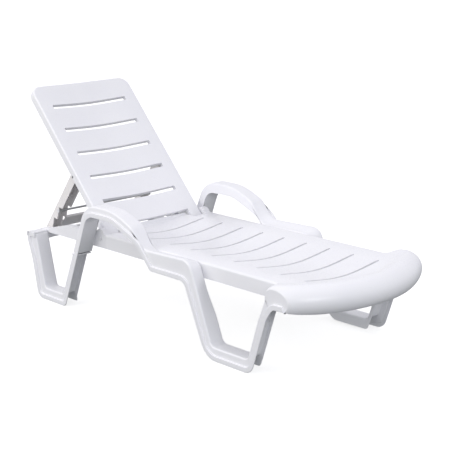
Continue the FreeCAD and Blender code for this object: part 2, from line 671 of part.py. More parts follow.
def prop_leg():
    """Left prop leg: a channel, open towards the teeth, hinged at its upper end."""
    body = [(PROP_ROOT_END, PROP_TIP, PROP_ROUND)] + toothed_edge()
    body += [(PROP_LENGTH, PROP_ROOT - 2, 5.0), (PROP_LENGTH, PROP_BACK_EDGE, 8.0),
             (PROP_ROOT_END, PROP_BACK_EDGE, PROP_ROUND)]
    leg = prism(leaning(body), PROP_INNER, PROP_OUTER)
    web = PROP_BACK_EDGE + WALL
    beyond = PROP_LENGTH + PROP_TIP
    hollow = [(PROP_HOLLOW_START, web, 0.0), (PROP_HOLLOW_START, 2 * PROP_TIP, 0.0),
              (beyond, 2 * PROP_TIP, 0.0), (beyond, web, 0.0)]
    leg = leg.cut(prism(leaning(hollow), PROP_INNER + WALL, PROP_OUTER - WALL))
    ribs = []
    for along in (60.0, 120.0, TIE_ROD_ALONG + 14):
        rib = [(along, PROP_BACK_EDGE + 1, 0.0), (along, 2.0, 0.0), (along + PROP_RIB, 2.0, 0.0),
               (along + PROP_RIB, PROP_BACK_EDGE + 1, 0.0)]
        ribs.append(prism(leaning(rib), PROP_INNER + 1, PROP_OUTER - 1))
    leg = fuse([leg] + ribs)
    hx, hz = raised_prop_hinge()
    tx, tz, _ = leaning([(TIE_ROD_ALONG, TIE_ROD_OFFSET, 0.0)])[0]
    return cut(leg, [rod_y(hx, hz, PROP_PIN_RADIUS + RUNNING_GAP, *BACK_CUT_HALF),
                     rod_y(tx, tz, TIE_ROD_RADIUS, *BACK_CUT_HALF)])


def prop_cross_panel():
    """Stiffening panel between the prop legs, with a flange along each long edge."""
    low, high = PROP_PANEL_LOW, PROP_PANEL_HIGH
    face = PROP_PANEL_FACE
    inside = face - WALL
    back = face - PROP_PANEL_FLANGE
    section = [(low, face, 2.0), (high, face, 2.0), (high, back, 0.0), (high - 3, back, 0.0),
               (high - 3, inside, 0.0), (low + 3, inside, 0.0), (low + 3, back, 0.0), (low, back, 0.0)]
    panel = prism(leaning(section), -PROP_INNER, PROP_INNER)
    tab = [(low + PROP_TAB_INSET, face, 0.0), (high - PROP_TAB_INSET, face, 0.0),
           (high - PROP_TAB_INSET, inside, 0.0), (low + PROP_TAB_INSET, inside, 0.0)]
    tab_reach = PROP_INNER + WALL + 3
    return panel.fuse(prism(leaning(tab), -tab_reach, tab_reach)).removeSplitter()


def prop_tie_rod():
    x, z, _ = leaning([(TIE_ROD_ALONG, TIE_ROD_OFFSET, 0.0)])[0]
    half = PROP_OUTER + TIE_ROD_END
    return rod_y(x, z, TIE_ROD_RADIUS, -half, half)


def tie_rod_cap():
    x, z, _ = leaning([(TIE_ROD_ALONG, TIE_ROD_OFFSET, 0.0)])[0]
    return rod_y(x, z, TIE_ROD_CAP_RADIUS, PROP_OUTER, PROP_OUTER + TIE_ROD_CAP_DEPTH)


# ---- screws --------------------------------------------------------------------------
def crossbar_bolts():
    middle = (CROSSBAR_REAR + CROSSBAR_FRONT) / 2
    z = CROSSBAR_BOTTOM + 9.0
    bolts = []
    for sign in (-1, 1):
        head_y = RAIL_INNER - 0.1 - CROSSBAR_END_WALL
        bolts.append(screw(vec(middle, sign * head_y, z), vec(0, sign, 0), BOLT_LENGTH))
    return bolts


def side_frame_screws():
    screws = []
    for sign in (-1, 1):
        for x, z in apron_screw_points():
            head = vec(x, sign * (RAIL_HALF_WIDTH - WALL), z)
            screws.append(screw(head, vec(0, sign, 0), FRAME_SCREW_LENGTH))
    return screws


def rail_screws():
    screws = []
    for sign in (-1, 1):
        for x, y in rail_boss_points():
            screws.append(screw(vec(x, sign * y, RAIL_SCREW_HEAD_Z), vec(0, 0, 1), RAIL_SCREW_LENGTH))
    return screws


def write_node(name, shape):
    placed = shape.copy()
    placed.translate(vec(-ORIGIN_X, 0, 0))
    placed.exportStep("parts/" + name + ".step")
    print(name, "solids", len(placed.Solids), "valid", placed.isValid(), "volume", round(placed.Volume))


def main():
    os.makedirs("parts", exist_ok=True)
    bolts = crossbar_bolts()
    frame_screws = side_frame_screws()
    deck_screws = rail_screws()
    deck = cut(seat_deck(), frame_screws + deck_screws)
    rail = cut(rear_rail(), bolts + frame_screws + deck_screws)
    side = cut(side_frame(deck), bolts + frame_screws)
    crossbar = cut(rear_crossbar(), bolts)
    panel = backrest_panel()
    cross_panel = prop_cross_panel()
    leg = cut(prop_leg(), [cross_panel])
    rod = prop_tie_rod()
    cap = cut(tie_rod_cap(), [rod])

    write_node("seat_deck", deck)
    write_node("rear_crossbar", crossbar)
    write_node("crossbar_bolts", Part.makeCompound(bolts))
    write_node("side_frame_screws", Part.makeCompound(frame_screws))
    write_node("rail_screws", Part.makeCompound(deck_screws))
    write_node("backrest_panel", panel)
    write_node("prop_cross_panel", cross_panel)
    write_node("prop_tie_rod", rod)
    paired = {"rear_rail": rail, "side_frame": side, "hinge_pin": hinge_pin(), "prop_pin": prop_pin(),
              "prop_leg": leg, "tie_rod_cap": cap}
    for name, shape in paired.items():
        write_node(name + "_left", shape)
        write_node(name + "_right", mirrored(shape))


main()
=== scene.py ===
import json
import math

import bmesh
import bpy
from mathutils import Matrix, Vector


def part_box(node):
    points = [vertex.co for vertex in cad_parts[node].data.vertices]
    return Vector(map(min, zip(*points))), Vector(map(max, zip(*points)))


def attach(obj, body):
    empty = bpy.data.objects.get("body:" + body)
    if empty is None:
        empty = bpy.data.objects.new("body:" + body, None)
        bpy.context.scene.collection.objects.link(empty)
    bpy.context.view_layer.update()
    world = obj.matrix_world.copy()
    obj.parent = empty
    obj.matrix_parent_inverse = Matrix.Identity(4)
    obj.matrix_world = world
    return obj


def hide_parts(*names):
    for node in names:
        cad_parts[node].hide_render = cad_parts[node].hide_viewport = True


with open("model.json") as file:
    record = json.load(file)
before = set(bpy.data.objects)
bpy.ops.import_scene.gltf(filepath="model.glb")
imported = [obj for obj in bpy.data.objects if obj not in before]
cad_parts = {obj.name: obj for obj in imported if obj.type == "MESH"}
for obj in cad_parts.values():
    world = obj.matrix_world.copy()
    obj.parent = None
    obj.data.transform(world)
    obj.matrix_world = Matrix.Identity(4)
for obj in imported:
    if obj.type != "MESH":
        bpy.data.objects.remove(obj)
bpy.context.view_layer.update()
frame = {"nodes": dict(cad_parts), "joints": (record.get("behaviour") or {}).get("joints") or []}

# Shape values are in millimetres along the same datum as the CAD model; place() turns them into
# metres in the frame.  The datum is found from the foot end of the seat.
NOSE_CENTRE_X = 515.5
NOSE_SWEEP = 492.0
NOSE_ROLL = 56.0
NOSE_Z = 290.0
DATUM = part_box("seat_deck")[1].x - (NOSE_CENTRE_X + NOSE_SWEEP + NOSE_ROLL) / 1000

WALL = 4.0
HALF_WIDTH = 350.0
STRIP_WIDTH = 20.0
STRIP_RAISE = 7.0
RAIL_HALF = 284.0
RAIL_BOTTOM = 271.0
SEAT_REAR_X = -165.0
SEAT_TAIL_X = -232.0
SEAT_TAIL_HALF = 190.5
SEAT_RIM = 331.0
SEAT_SAG = 24.0
SEAT_DISH_HALF = 245.0
SLOT_PITCH = 121.1
SEAT_SLOT_START = -110.0
SEAT_SLOTS = 9
NOSE_ROOT = 412.0
NOSE_CREST_Z = NOSE_Z + NOSE_ROLL
NOSE_LIP = -47.0
NOSE_ARC = 90.0 - NOSE_LIP
NOSE_END_Y = 308.0
SEAT_SLOT_HALF = 194.0
SEAT_SLOT_WIDE = 5.5
SLOT_CORNER = 3.5
TAIL_FOOT = 285.0
BRACKET_BOTTOM = 236.0
APRON_LEAN = 14.0

# Metres: skin of the solidified mouldings, the rounding of their edges, and how deep slots go.
SKIN = 0.0038
SKIN_EDGE = 0.0014
SEAT_SLOT_DEPTH = 0.009
BACK_SLOT_DEPTH = 0.018

hinge = next(j for j in frame["joints"] if j["name"] == "backrest_hinge")
HINGE = Vector(hinge["pos_m"])
BACK_ANGLE = math.radians(-hinge["range_deg"][0])

UPPER_EDGE = [
    (-574.0, 281.0, 0.0), (-519.5, 49.0, 20.0), (-392.5, 49.0, 12.0), (-208.0, 460.0, 110.0),
    (-20.0, 460.0, 300.0), (90.0, 414.0, 60.0), (150.0, 341.0, 80.0), (422.0, 348.0, 52.0),
    (538.0, 49.0, 30.0), (727.0, 49.0, 22.0), (781.0, 206.0, 180.0), (818.0, 288.0, 0.0),
]
LOWER_EDGE = [
    (-628.0, 281.0, 0.0), (-624.0, 240.0, 40.0), (-596.0, 165.0, 60.0), (-564.0, 0.0, 40.0),
    (-367.0, 0.0, 28.0), (-188.0, 415.0, 62.0), (-30.0, 415.0, 160.0), (126.0, 352.0, 90.0),
    (204.0, 266.0, 26.0), (400.0, 266.0, 34.0), (513.0, 0.0, 85.0), (752.0, 0.0, 48.0),
    (830.0, 218.0, 60.0), (852.0, 250.0, 0.0),
]
CURL_LOWER = [(852.0, 250.0, 0.0), (866.0, 261.0, 16.0), (918.0, 262.5, 0.0)]
# Corners of the two edges that stand across from each other.
EDGE_PAIRS = [(1, 3), (2, 4), (3, 5), (4, 6), (5, 7), (6, 8), (7, 9), (8, 10), (9, 11), (10, 12)]


def place(x, y, z):
    return Vector((x / 1000 + DATUM, y / 1000, z / 1000))


def smooth(t):
    t = max(0.0, min(1.0, t))
    return t * t * (3 - 2 * t)


def between(value, start, end):
    return smooth((value - start) / (end - start))


def new_object(name, verts, faces, body, material):
    mesh = bpy.data.meshes.new(name)
    mesh.from_pydata([tuple(v) for v in verts], [], faces)
    work = bmesh.new()
    work.from_mesh(mesh)
    bmesh.ops.remove_doubles(work, verts=work.verts, dist=0.00002)
    bmesh.ops.dissolve_degenerate(work, edges=work.edges, dist=0.00001)
    bmesh.ops.delete(work, geom=[v for v in work.verts if not v.link_faces], context="VERTS")
    bmesh.ops.recalc_face_normals(work, faces=work.faces)
    work.to_mesh(mesh)
    work.free()
    mesh.update()
    for face in mesh.polygons:
        face.use_smooth = True
    piece = bpy.data.objects.new(name, mesh)
    bpy.context.scene.collection.objects.link(piece)
    mesh.materials.append(material)
    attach(piece, body)
    return piece


def add_bevel(piece, width, angle=35.0, segments=2):
    bevel = piece.modifiers.new("edges", "BEVEL")
    bevel.width = width
    bevel.segments = segments
    bevel.limit_method = "ANGLE"
    bevel.angle_limit = math.radians(angle)
    bevel.harden_normals = False
    bevel.miter_outer = "MITER_ARC"
    normals = piece.modifiers.new("shading", "WEIGHTED_NORMAL")
    normals.keep_sharp = True


def add_skin(piece):
    """Gives a moulding its wall thickness, inwards from the modelled face."""
    thick = piece.modifiers.new("wall", "SOLIDIFY")
    thick.thickness = SKIN
    thick.offset = -1.0
    thick.use_even_offset = False
    add_bevel(piece, SKIN_EDGE, angle=40.0, segments=2)


# ---- materials -----------------------------------------------------------------------
def new_material(name):
    material = bpy.data.materials.new(name)
    material.use_nodes = True
    tree = material.node_tree
    return material, tree.nodes, tree.links, tree.nodes["Principled BSDF"]


def noise(nodes, links, vector, scale, detail, distortion=0.0):
    texture = nodes.new("ShaderNodeTexNoise")
    texture.inputs["Scale"].default_value = scale
    texture.inputs["Detail"].default_value = detail
    texture.inputs["Distortion"].default_value = distortion
    links.new(vector, texture.inputs["Vector"])
    return texture.outputs["Fac"]


def bump(nodes, links, height, strength, distance):
    relief = nodes.new("ShaderNodeBump")
    relief.inputs["Strength"].default_value = strength
    relief.inputs["Distance"].default_value = distance
    links.new(height, relief.inputs["Height"])
    return relief


def plastic(name, colour, shade, roughness, grain_scale=900.0, grain=0.05, worn=0.5):
    """Moulded polypropylene: fine spark-eroded grain, faint flow mottling, scuffed edges."""
    material, nodes, links, shader = new_material(name)
    shader.inputs["IOR"].default_value = 1.49
    shader.inputs["Subsurface Weight"].default_value = 0.06
    shader.inputs["Subsurface Radius"].default_value = (0.006, 0.006, 0.007)
    shader.inputs["Subsurface Scale"].default_value = 0.5
    where = nodes.new("ShaderNodeTexCoord").outputs["Object"]
    flow = noise(nodes, links, where, 5.0, 5.0, 0.8)
    dust = noise(nodes, links, where, 320.0, 4.0)
    fine = noise(nodes, links, where, grain_scale, 2.0)

    tint = nodes.new("ShaderNodeValToRGB")
    tint.color_ramp.elements[0].position = 0.3
    tint.color_ramp.elements[0].color = (*shade, 1)
    tint.color_ramp.elements[1].position = 0.7
    tint.color_ramp.elements[1].color = (*colour, 1)
    links.new(flow, tint.inputs["Fac"])

    geometry = nodes.new("ShaderNodeNewGeometry")
    edge = nodes.new("ShaderNodeMapRange")
    edge.inputs["From Min"].default_value = 0.52
    edge.inputs["From Max"].default_value = 0.62
    edge.inputs["To Max"].default_value = worn
    links.new(geometry.outputs["Pointiness"], edge.inputs["Value"])
    scuffs = nodes.new("ShaderNodeMath")
    scuffs.operation = "MULTIPLY"
    links.new(edge.outputs["Result"], scuffs.inputs[0])
    links.new(dust, scuffs.inputs[1])
    paint = nodes.new("ShaderNodeMix")
    paint.data_type = "RGBA"
    paint.inputs["B"].default_value = tuple(min(1.0, c * 1.04) for c in colour) + (1,)
    links.new(scuffs.outputs["Value"], paint.inputs["Factor"])
    links.new(tint.outputs["Color"], paint.inputs["A"])
    links.new(paint.outputs["Result"], shader.inputs["Base Color"])

    rough = nodes.new("ShaderNodeMapRange")
    rough.inputs["From Min"].default_value = 0.35
    rough.inputs["From Max"].default_value = 0.65
    rough.inputs["To Min"].default_value = roughness - 0.03
    rough.inputs["To Max"].default_value = roughness + 0.04
    links.new(dust, rough.inputs["Value"])
    rougher = nodes.new("ShaderNodeMath")
    rougher.operation = "MULTIPLY_ADD"
    rougher.inputs[1].default_value = 0.25
    links.new(scuffs.outputs["Value"], rougher.inputs[0])
    links.new(rough.outputs["Result"], rougher.inputs[2])
    links.new(rougher.outputs["Value"], shader.inputs["Roughness"])

    wave = bump(nodes, links, flow, 0.05, 0.002)
    texture = bump(nodes, links, fine, grain, 0.0004)
    links.new(wave.outputs["Normal"], texture.inputs["Normal"])
    links.new(texture.outputs["Normal"], shader.inputs["Normal"])
    return material


def steel(name):
    """Drawn, zinc-plated steel rod with fine lines along its length and dull spots."""
    material, nodes, links, shader = new_material(name)
    shader.inputs["Metallic"].default_value = 1.0
    where = nodes.new("ShaderNodeTexCoord").outputs["Object"]
    stretch = nodes.new("ShaderNodeMapping")
    stretch.inputs["Scale"].default_value = (900.0, 12.0, 900.0)
    links.new(where, stretch.inputs["Vector"])
    lines = noise(nodes, links, stretch.outputs["Vector"], 1.0, 3.0)
    spots = noise(nodes, links, where, 60.0, 6.0)
    tint = nodes.new("ShaderNodeValToRGB")
    tint.color_ramp.elements[0].color = (0.52, 0.52, 0.53, 1)
    tint.color_ramp.elements[1].color = (0.72, 0.72, 0.73, 1)
    links.new(spots, tint.inputs["Fac"])
    links.new(tint.outputs["Color"], shader.inputs["Base Color"])
    rough = nodes.new("ShaderNodeMapRange")
    rough.inputs["To Min"].default_value = 0.3
    rough.inputs["To Max"].default_value = 0.55
    links.new(lines, rough.inputs["Value"])
    links.new(rough.outputs["Result"], shader.inputs["Roughness"])
    drawn = bump(nodes, links, lines, 0.15, 0.0002)
    links.new(drawn.outputs["Normal"], shader.inputs["Normal"])
    return material


WHITE = plastic("white_resin", (0.86, 0.86, 0.885), (0.84, 0.84, 0.87), 0.30)
# The prop's white resin is tinted warm and pinkish to copy the tone its faces take in the backrest's shade:
# painted shade.
PROP_SHADE_TINTED_WHITE = plastic("prop_resin", (0.86, 0.835, 0.83), (0.82, 0.795, 0.79), 0.36, grain=0.08)
PIN_WHITE = plastic("pin_resin", (0.78, 0.78, 0.80), (0.74, 0.74, 0.77), 0.42, grain=0.1)
STEEL = steel("zinc_steel")


# ---- side frames ---------------------------------------------------------------------
def corner_arcs(points):
    """For each corner of an open edge: (arrive, leave, centre, radius, turn) of its tangent arc."""
    arcs = []
    for i, (x, z, radius) in enumerate(points):
        here = Vector((x, z))
        if i in (0, len(points) - 1) or radius <= 0:
            arcs.append((here, here, here, 0.0, 0.0))
            continue
        back = (Vector(points[i - 1][:2]) - here).normalized()
        ahead = (Vector(points[i + 1][:2]) - here).normalized()
        opening = math.acos(max(-1.0, min(1.0, back.dot(ahead))))
        reach = radius / math.tan(opening / 2)
        centre = here + (back + ahead).normalized() * (radius / math.sin(opening / 2))
        turn = math.copysign(math.pi - opening, back.y * ahead.x - back.x * ahead.y)
        arcs.append((here + back * reach, here + ahead * reach, centre, radius, turn))
    return arcs


def edge_normals(points):
    """Left-hand normal at each point of an edge."""
    normals = []
    for i in range(len(points)):
        along = (points[min(i + 1, len(points) - 1)] - points[max(i - 1, 0)]).normalized()
        normals.append(Vector((-along.y, along.x)))
    return normals


def edge_samples(points, keys, arc_steps, span_steps):
    """Points and left-hand normals along an open edge, matched corner for corner by keys."""
    arcs = corner_arcs(points)

    def arc_points(i, steps):
        arrive, _, centre, radius, turn = arcs[i]
        if radius <= 0:
            return [arrive]
        spoke = arrive - centre
        swept = []
        for k in range(steps + 1):
            a = turn * k / steps
            swept.append(centre + Vector((spoke.x * math.cos(a) - spoke.y * math.sin(a),
                                          spoke.x * math.sin(a) + spoke.y * math.cos(a))))
        return swept

    result = []
    spans = [0] + list(keys) + [len(points) - 1]
    for n, (first, last) in enumerate(zip(spans, spans[1:])):
        run = [arcs[first][1]]
        for i in range(first + 1, last):
            run += arc_points(i, 10)
        run.append(arcs[last][0])
        lengths = [0.0]
        for a, b in zip(run, run[1:]):
            lengths.append(lengths[-1] + (b - a).length)
        steps = span_steps[n]
        for k in range(steps + 1):
            want = lengths[-1] * k / steps
            at = max(i for i in range(len(lengths)) if lengths[i] <= want + 1e-9)
            at = min(at, len(run) - 2)
            part = (want - lengths[at]) / max(lengths[at + 1] - lengths[at], 1e-9)
            result.append(run[at].lerp(run[at + 1], part))
        if last != len(points) - 1:
            result += arc_points(last, arc_steps)[1:-1]
    return result, edge_normals(result)


def curl_rim():
    """Line where the rolled foot end meets the side frame's outer face."""
    rim = []
    for kind, value in NOSE_PROFILE:
        x, z, _ = nose_point(kind, value, HALF_WIDTH)
        rim.append(Vector((x, z)))
    return rim


def inner_recess(o, on):
    """How far the channel's inner wall stops short of its outer wall."""
    limb = 18.0 if on.x > 0 else 24.0
    depth = 7.0 + (limb - 7.0) * smooth(abs(on.x) / 0.85)
    if o.y > 270 or -190 < o.x < 385:
        return 0.0
    if o.x < -450:
        return depth * (1 - between(o.y, 205.0, 222.0))
    if o.x < 0:
        return depth * (1 - between(o.y, BRACKET_BOTTOM - 4, BRACKET_BOTTOM))
    return depth * (1 - between(o.y, 236.0, 262.0) * (1.0 if o.x < 600 else 0.0))


def side_frame(sign, name, node):
    """Channel that runs leg, arm, apron, leg and curls over the seat's rolled end."""
    span_steps = [14, 6, 30, 12, 10, 8, 18, 16, 8, 16, 6]
    upper, upper_normal = edge_samples(UPPER_EDGE, [p[0] for p in EDGE_PAIRS], 8, span_steps)
    lower, lower_normal = edge_samples(LOWER_EDGE, [p[1] for p in EDGE_PAIRS], 8, span_steps)
    curl_from = len(upper)
    rim = curl_rim()
    curl, curl_normal = edge_samples(CURL_LOWER, [], 1, [len(rim) - 1])
    upper += rim
    lower += curl
    upper_normal += edge_normals(rim)
    lower_normal += curl_normal
    verts = []
    faces = []
    count = len(upper)
    half_turn = [math.radians(a) for a in (0, 22.5, 45, 67.5, 90)]
    bracket = []
    for i in range(count):
        w, o = upper[i], lower[i]
        wn, on = -upper_normal[i], lower_normal[i]
        band = (o - w).length
        width_step = min(STRIP_WIDTH, band * 0.6)
        at_curl = 1.0 if i >= curl_from else 0.0
        rounding = 7.0 * (1 - at_curl) + 0.5 * at_curl
        # The web slopes down to the seat's border along the apron and the head of the front leg.
        at_apron = between(w.x, 60.0, 175.0) * (1 - between(w.x, 500.0, 530.0))
        if w.x > 400:
            at_apron *= between(w.y, 130.0, 250.0)
        inner = RAIL_HALF + 50.0 * at_curl
        lean = APRON_LEAN * at_apron
        if -360 < o.x < -150 and o.y > BRACKET_BOTTOM:
            bracket.append((o + on * 2.2, o + on * 5.5))
        ring = []
        for a in half_turn:
            ring.append((w + wn * (rounding * (1 - math.cos(a))),
                         HALF_WIDTH - rounding * (1 - math.sin(a))))
        outer = HALF_WIDTH + STRIP_RAISE
        for inset, y in ((1.4, HALF_WIDTH), (0.5, HALF_WIDTH + 0.35), (0.0, HALF_WIDTH + 1.3),
                         (-0.4, outer - 1.6), (-1.0, outer - 0.5), (-2.2, outer)):
            ring.append((o + on * (width_step + inset), y))
        tip = min(2.0, band * 0.1)
        ring.append((o + on * tip, outer))
        ring.append((o + on * (tip * 0.3), outer - 0.6))
        ring.append((o, outer - 1.9))
        ring.append((o, outer - WALL + 0.5))
        ring.append((o + on * (tip * 0.4), outer - WALL))
        ring.append((o + on * (width_step - WALL - 2.0), outer - WALL))
        ring.append((o + on * (width_step - WALL - 0.5), outer - WALL - 1.5))
        ring.append((o + on * (width_step - WALL + 0.6), HALF_WIDTH - WALL + 0.4))
        deep = min(WALL, band * 0.3)
        ring.append((w + wn * (deep + 3.0), HALF_WIDTH - WALL))
        ring.append((w + wn * deep, HALF_WIDTH - WALL - 3.0))
        ring.append((w + wn * (deep + lean), inner + 8.0))
        ring.append((w + wn * (deep + 3.0 + lean), inner + WALL + 1.0))
        edge = o + on * inner_recess(o, on)
        ring.append((edge + on * 1.5, inner + WALL))
        ring.append((edge, inner + WALL - 1.0))
        ring.append((edge, inner + 1.0))
        ring.append((edge + on * 1.0, inner))
        base = w + wn * lean
        for a in reversed(half_turn):
            ring.append((base + wn * (rounding * (1 - math.cos(a))),
                         inner + rounding * (1 - math.sin(a))))
        span = HALF_WIDTH - 2 * rounding - inner
        for share in (0.2, 0.4, 0.6, 0.8):
            drop = lean * (1 - smooth(share * 1.05))
            ring.append((w + wn * drop, inner + rounding + span * share))
        ring_size = len(ring)
        for point, y in ring:
            verts.append(place(point.x, sign * y, point.y))
    for i in range(count - 1):
        for j in range(ring_size):
            a = i * ring_size + j
            b = i * ring_size + (j + 1) % ring_size
            faces.append((a, b, b + ring_size, a + ring_size))
    faces.append(tuple(range(ring_size)))
    faces.append(tuple(range(len(verts) - ring_size, len(verts))))
    piece = new_object(name, verts, faces, "frame", WHITE)
    normals = piece.modifiers.new("shading", "WEIGHTED_NORMAL")
    normals.keep_sharp = True
    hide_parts(node)

    # Closed front of the bracket that joins the rear leg to the rail, and its floor.
    loop = [p for p, _ in bracket] + [q for _, q in reversed(bracket)]
    y_range = (sign * (RAIL_HALF + 1.5), sign * (HALF_WIDTH + 4.0))
    front = [(p.x, p.y) for p in loop]
    rounded_prism(name + "_bracket", front, y_range, "frame", WHITE, 0.0008)
    low = [(-307.0, BRACKET_BOTTOM), (-266.5, BRACKET_BOTTOM), (-264.0, BRACKET_BOTTOM + 6),
           (-304.0, BRACKET_BOTTOM + 6)]
    rounded_prism(name + "_bracket_floor", low, y_range, "frame", WHITE, 0.0015)
    top = [(-628.0, 262.0), (-628.0, 273.0), (-626.6, 277.6), (-624.6, 279.6), (-620.0, 281.0),
           (-572.5, 281.0), (-572.5, 262.0)]
    rounded_prism(name + "_top_strip", top, (sign * (HALF_WIDTH - 3), sign * (HALF_WIDTH + STRIP_RAISE)),
                  "frame", WHITE, 0.0014)
    plate = [(-628.0, 270.0), (-628.0, 273.0), (-626.6, 277.6), (-624.6, 279.6), (-620.0, 281.0),
             (-572.5, 281.0), (-572.5, 276.0), (-620.0, 276.0), (-622.0, 270.0)]
    rounded_prism(name + "_top_plate", plate, (sign * (RAIL_HALF - 2), sign * (HALF_WIDTH + 3)),
                  "frame", WHITE, 0.0008)


def rounded_prism(name, outline, y_range, body, material, bevel):
    """Prism along Y over an (x, z) outline, with its edges rounded by a bevel."""
    verts = [place(x, y, z) for y in y_range for x, z in outline]
    n = len(outline)
    faces = [tuple(range(n)), tuple(range(n, 2 * n))]
    faces += [(i, (i + 1) % n, n + (i + 1) % n, n + i) for i in range(n)]
    piece = new_object(name, verts, faces, body, material)
    add_bevel(piece, bevel, segments=3)
    return piece


# ---- slotted panels ------------------------------------------------------------------
def slot_half_width(y, half_length, half_width, corner):
    """Half width of a slot at y, with rounded corners; beyond its end the full width again."""
    into = abs(y) - (half_length - corner)
    if into <= 0 or abs(y) > half_length:
        return half_width
    return half_width - corner + math.sqrt(max(corner ** 2 - into ** 2, 0.0))


class Panel:
    """Grid of points with slots left open and skirts or walls hung from chosen edges."""

    def __init__(self):
        self.verts = []
        self.faces = []

    def point(self, position):
        self.verts.append(position)
        return len(self.verts) - 1

    def strip(self, first, second, closed=False):
        count = len(first)
        for i in range(count if closed else count - 1):
            j = (i + 1) % count
            self.faces.append((first[i], first[j], second[j], second[i]))


# ---- seat ----------------------------------------------------------------------------
NOSE_PROFILE = [("rise", k / 12) for k in range(13)]
NOSE_PROFILE += [("roll", 90.0 - NOSE_ARC * k / 26) for k in range(1, 27)]


def seat_height(x, y):
    dish = 0.0
    if abs(y) < SEAT_DISH_HALF:
        dish = SEAT_SAG * (1 - (y / SEAT_DISH_HALF) ** 2) ** 2
    base = SEAT_RIM - dish
    reach = math.hypot(max(x - NOSE_CENTRE_X, 0.0), y)
    if x > NOSE_CENTRE_X + 200 and reach > NOSE_ROOT:
        base += (NOSE_CREST_Z - base) * smooth((reach - NOSE_ROOT) / (NOSE_SWEEP - NOSE_ROOT))
    return base


def nose_point(kind, value, y):
    """Point of the rolled foot end at width y, and its outward direction, in the (x, z) plane."""
    beyond = max(0.0, (abs(y) - RAIL_HALF) / (HALF_WIDTH - RAIL_HALF))
    end_share = max(0.0, (abs(y) - NOSE_END_Y) / (HALF_WIDTH - NOSE_END_Y))
    end_drop = 1 - math.sqrt(max(0.0, 1 - end_share ** 2))
    if kind == "rise":
        begin = NOSE_ROOT
        begin_x = 0.0
        head_round = 0.0
        if beyond > 0:
            begin_x = 812.0 + 6.0 * beyond
            head_round = 12.0 + 22.0 * beyond
            begin = math.hypot(begin_x - NOSE_CENTRE_X, y)
        reach = begin + (NOSE_SWEEP - begin) * value ** (1.7 if beyond > 0 else 1.0)
        x = NOSE_CENTRE_X + math.sqrt(max(reach ** 2 - y ** 2, 0.0))
        z = seat_height(x, y) - 17.0 * end_drop
        if head_round > 0 and x < begin_x + head_round:
            near = (begin_x + head_round - x) / head_round
            z -= head_round * (1 - math.sqrt(max(0.0, 1 - near ** 2)))
        return x, z, Vector((0.0, 1.0))
    lip = 10.0 * between(abs(y), 230.0, HALF_WIDTH)
    angle = 90.0 - (90.0 - value) * (1 - lip / NOSE_ARC)
    turn = math.radians(angle)
    reach = NOSE_SWEEP + NOSE_ROLL * math.cos(turn)
    x = NOSE_CENTRE_X + math.sqrt(reach ** 2 - y ** 2)
    z = NOSE_Z + NOSE_ROLL * math.sin(turn)
    out = Vector((math.cos(turn), math.sin(turn)))
    inset = (10.0 + 7.0 * between(angle, 0.0, 70.0)) * end_drop
    return x - out.x * inset, z - out.y * inset, out


def symmetric(values):
    return sorted(set([-v for v in values] + list(values)))


